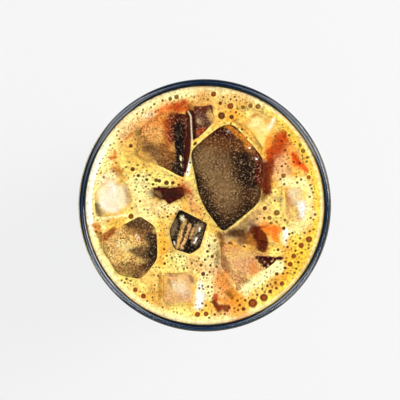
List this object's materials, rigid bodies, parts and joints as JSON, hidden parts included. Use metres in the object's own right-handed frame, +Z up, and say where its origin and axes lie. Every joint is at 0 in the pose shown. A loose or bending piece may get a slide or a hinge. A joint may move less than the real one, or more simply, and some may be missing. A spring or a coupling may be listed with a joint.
{
  "type": "iced coffee",
  "caption": "Iced coffee in a clear tapered tumbler: black coffee under golden foam, with melting ice pieces standing a little proud of the foam.",
  "frame": {"origin": "centre of the glass's foot, on the surface that it stands on", "axes": "+Z up along the glass's axis; -Y towards the bottom edge of the view from above, +X to its right"},
  "size_m": [0.0796, 0.0798, 0.11],
  "materials": {
    "glass": "clear soda-lime glass, polished, with a faint blue-green edge",
    "coffee": "black coffee, a dark red-brown liquid",
    "foam": "golden coffee foam, moist, with cream and rust patches and small burst bubbles",
    "ice": "wet melting ice, coffee-brown, frosted with fine bubbles"
  },
  "bodies": {
    "root": {"glass": "glass", "coffee": "coffee", "foam": "foam", "ice_large": "ice", "ice_upper_left": "ice", "ice_top": "ice", "ice_upper_right": "ice", "ice_left": "ice", "ice_lower_left": "ice", "ice_centre": "ice", "ice_bottom": "ice", "ice_lower_right": "ice", "ice_right": "ice", "ice_mid_right": "ice"}
  },
  "joints": []
}
